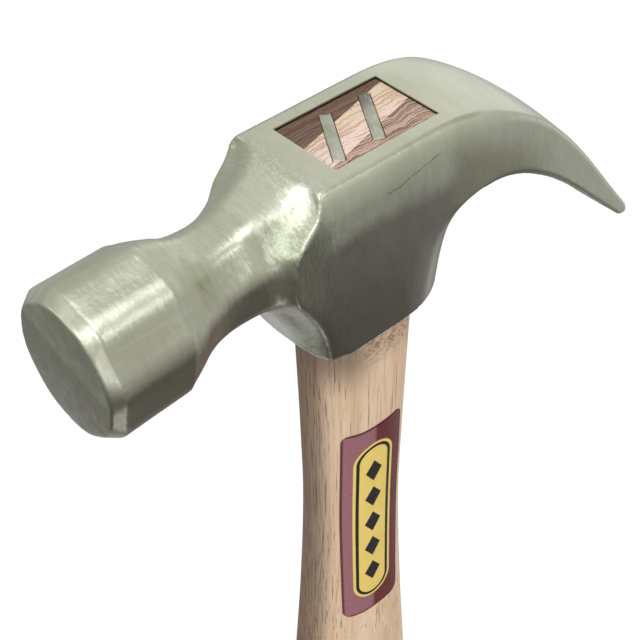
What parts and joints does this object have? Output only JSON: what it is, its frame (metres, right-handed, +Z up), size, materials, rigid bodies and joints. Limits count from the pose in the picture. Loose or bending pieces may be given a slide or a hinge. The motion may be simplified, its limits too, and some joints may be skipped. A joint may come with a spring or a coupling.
{
  "type": "curved claw hammer",
  "caption": "Curved claw hammer with an octagonal bell, a forged steel head wedged on a timber handle, and a label on the handle's side.",
  "frame": {"origin": "middle of the flat butt at the handle's lower end", "axes": "+Z up along the handle to the head, +X to the claw, so the striking face looks along -X, and the label is on the -Y side"},
  "size_m": [0.1264, 0.0268, 0.33],
  "materials": {
    "head_steel": "forged and ground steel under a clear olive-tinted lacquer",
    "handle_timber": "open-pored pale hardwood, thinly waxed",
    "wedge_timber": "paler end grain, bare",
    "wedge_steel": "cold-rolled strip, scratched",
    "label_film": "maroon printed film, glossy"
  },
  "bodies": {
    "root": {"head": "head_steel", "handle": "handle_timber", "wood_wedge": "wedge_timber", "steel_wedge_front": "wedge_steel", "steel_wedge_rear": "wedge_steel", "label": "label_film"}
  },
  "joints": []
}
